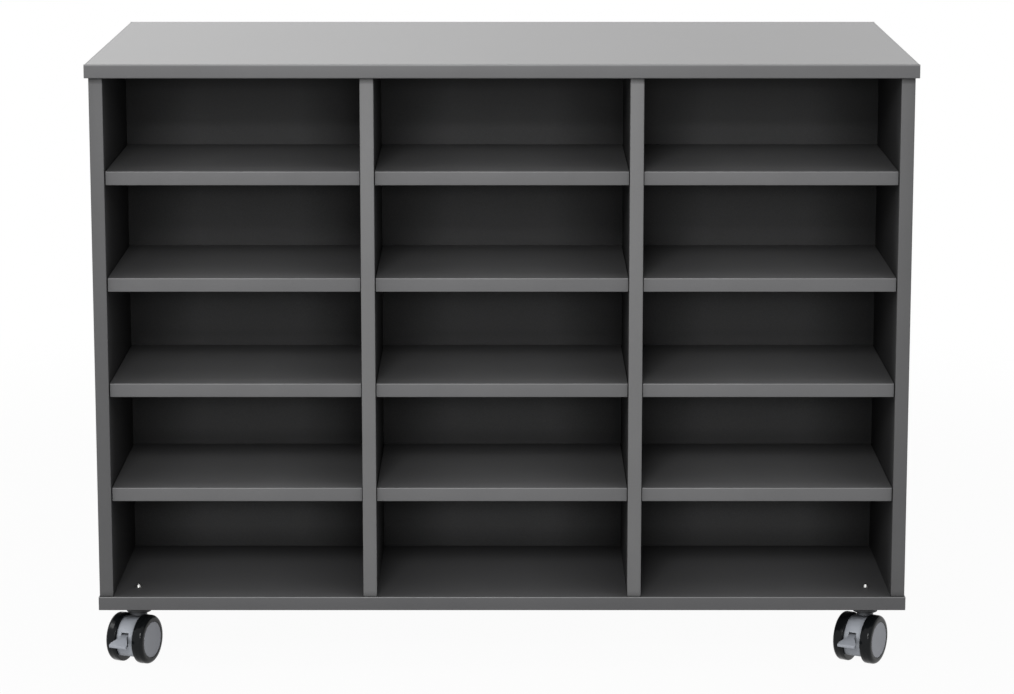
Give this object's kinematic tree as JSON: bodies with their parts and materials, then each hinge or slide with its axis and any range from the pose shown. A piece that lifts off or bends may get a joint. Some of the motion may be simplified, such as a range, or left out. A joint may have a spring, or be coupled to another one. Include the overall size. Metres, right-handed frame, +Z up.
{
  "type": "mobile tote tray storage unit",
  "caption": "Low double-sided cabinet of dark grey laminated boards with open compartments for tote trays, on twin-wheel swivel castors, the front ones with brake levers.",
  "frame": {"origin": "on the floor under the middle of the top", "axes": "+X along the front from left to right, +Y from front to rear, +Z up"},
  "size_m": [1.078, 0.5785, 0.809],
  "materials": {
    "laminated_board": "satin dark grey laminate on chipboard",
    "edge_strip": "satin dark grey edging",
    "beech_biscuit": "pressed beech, unfinished",
    "support_plastic": "moulded dark grey plastic",
    "plated_steel": "bright zinc plate",
    "castor_plastic": "fine-textured grey nylon",
    "tyre_rubber": "matt black rubber",
    "hub_cap_plastic": "smooth grey nylon"
  },
  "bodies": {
    "cabinet": {"top_panel": "laminated_board", "base_panel": "laminated_board", "end_panel_left": "laminated_board", "partition_left": "laminated_board", "partition_right": "laminated_board", "end_panel_right": "laminated_board", "back_panel_left": "laminated_board", "back_panel_centre": "laminated_board", "back_panel_right": "laminated_board", "top_edge_strips": "edge_strip", "carcass_edge_strips": "edge_strip", "shelf_edge_strips": "edge_strip", "front_shelf_left_1": "laminated_board", "front_shelf_centre_1": "laminated_board", "front_shelf_right_1": "laminated_board", "front_shelf_left_2": "laminated_board", "front_shelf_centre_2": "laminated_board", "front_shelf_right_2": "laminated_board", "front_shelf_left_3": "laminated_board", "front_shelf_centre_3": "laminated_board", "front_shelf_right_3": "laminated_board", "front_shelf_left_4": "laminated_board", "front_shelf_centre_4": "laminated_board", "front_shelf_right_4": "laminated_board", "rear_shelves_row_1": "laminated_board", "rear_shelves_row_2": "laminated_board", "rear_shelves_row_3": "laminated_board", "rear_shelves_row_4": "laminated_board", "joint_biscuits": "beech_biscuit", "shelf_supports": "support_plastic", "castor_stems": "plated_steel", "castor_collars": "castor_plastic"},
    "front_left_castor": {"front_left_castor_housing": "castor_plastic", "front_left_castor_axle": "plated_steel"},
    "front_left_castor_left_wheel": {"front_left_left_wheel": "tyre_rubber", "front_left_left_hub_cap": "hub_cap_plastic"},
    "front_left_castor_right_wheel": {"front_left_right_wheel": "tyre_rubber", "front_left_right_hub_cap": "hub_cap_plastic"},
    "front_left_brake": {"front_left_brake_lever": "castor_plastic"},
    "front_right_castor": {"front_right_castor_housing": "castor_plastic", "front_right_castor_axle": "plated_steel"},
    "front_right_castor_left_wheel": {"front_right_left_wheel": "tyre_rubber", "front_right_left_hub_cap": "hub_cap_plastic"},
    "front_right_castor_right_wheel": {"front_right_right_wheel": "tyre_rubber", "front_right_right_hub_cap": "hub_cap_plastic"},
    "front_right_brake": {"front_right_brake_lever": "castor_plastic"},
    "rear_left_castor": {"rear_left_castor_housing": "castor_plastic", "rear_left_castor_axle": "plated_steel"},
    "rear_left_castor_left_wheel": {"rear_left_left_wheel": "tyre_rubber", "rear_left_left_hub_cap": "hub_cap_plastic"},
    "rear_left_castor_right_wheel": {"rear_left_right_wheel": "tyre_rubber", "rear_left_right_hub_cap": "hub_cap_plastic"},
    "rear_right_castor": {"rear_right_castor_housing": "castor_plastic", "rear_right_castor_axle": "plated_steel"},
    "rear_right_castor_left_wheel": {"rear_right_left_wheel": "tyre_rubber", "rear_right_left_hub_cap": "hub_cap_plastic"},
    "rear_right_castor_right_wheel": {"rear_right_right_wheel": "tyre_rubber", "rear_right_right_hub_cap": "hub_cap_plastic"}
  },
  "joints": [
    {"name": "front_left_swivel", "type": "hinge", "parent": "cabinet", "child": "front_left_castor", "pos_m": [-0.488, -0.228, 0.0667], "axis": [0, 0, 1], "continuous": true},
    {"name": "front_left_left_wheel_spin", "type": "hinge", "parent": "front_left_castor", "child": "front_left_castor_left_wheel", "pos_m": [-0.49343, -0.24144, 0.033], "axis": [0.9272, -0.3746, 0], "continuous": true},
    {"name": "front_left_right_wheel_spin", "type": "hinge", "parent": "front_left_castor", "child": "front_left_castor_right_wheel", "pos_m": [-0.49343, -0.24144, 0.033], "axis": [0.9272, -0.3746, 0], "continuous": true},
    {"name": "front_left_brake_press", "type": "hinge", "parent": "front_left_castor", "child": "front_left_brake", "pos_m": [-0.50055, -0.25906, 0.041], "axis": [0.9272, -0.3746, 0], "range_deg": [0, 12]},
    {"name": "front_right_swivel", "type": "hinge", "parent": "cabinet", "child": "front_right_castor", "pos_m": [0.488, -0.228, 0.0667], "axis": [0, 0, 1], "continuous": true},
    {"name": "front_right_left_wheel_spin", "type": "hinge", "parent": "front_right_castor", "child": "front_right_castor_left_wheel", "pos_m": [0.48097, -0.24068, 0.033], "axis": [0.8746, -0.4848, 0], "continuous": true},
    {"name": "front_right_right_wheel_spin", "type": "hinge", "parent": "front_right_castor", "child": "front_right_castor_right_wheel", "pos_m": [0.48097, -0.24068, 0.033], "axis": [0.8746, -0.4848, 0], "continuous": true},
    {"name": "front_right_brake_press", "type": "hinge", "parent": "front_right_castor", "child": "front_right_brake", "pos_m": [0.47176, -0.2573, 0.041], "axis": [0.8746, -0.4848, 0], "range_deg": [0, 12]},
    {"name": "rear_left_swivel", "type": "hinge", "parent": "cabinet", "child": "rear_left_castor", "pos_m": [-0.488, 0.228, 0.0667], "axis": [0, 0, 1], "continuous": true},
    {"name": "rear_left_left_wheel_spin", "type": "hinge", "parent": "rear_left_castor", "child": "rear_left_castor_left_wheel", "pos_m": [-0.49296, 0.21437, 0.033], "axis": [0.9397, -0.342, 0], "continuous": true},
    {"name": "rear_left_right_wheel_spin", "type": "hinge", "parent": "rear_left_castor", "child": "rear_left_castor_right_wheel", "pos_m": [-0.49296, 0.21437, 0.033], "axis": [0.9397, -0.342, 0], "continuous": true},
    {"name": "rear_right_swivel", "type": "hinge", "parent": "cabinet", "child": "rear_right_castor", "pos_m": [0.488, 0.228, 0.0667], "axis": [0, 0, 1], "continuous": true},
    {"name": "rear_right_left_wheel_spin", "type": "hinge", "parent": "rear_right_castor", "child": "rear_right_castor_left_wheel", "pos_m": [0.47907, 0.21657, 0.033], "axis": [0.788, -0.6157, 0], "continuous": true},
    {"name": "rear_right_right_wheel_spin", "type": "hinge", "parent": "rear_right_castor", "child": "rear_right_castor_right_wheel", "pos_m": [0.47907, 0.21657, 0.033], "axis": [0.788, -0.6157, 0], "continuous": true}
  ]
}
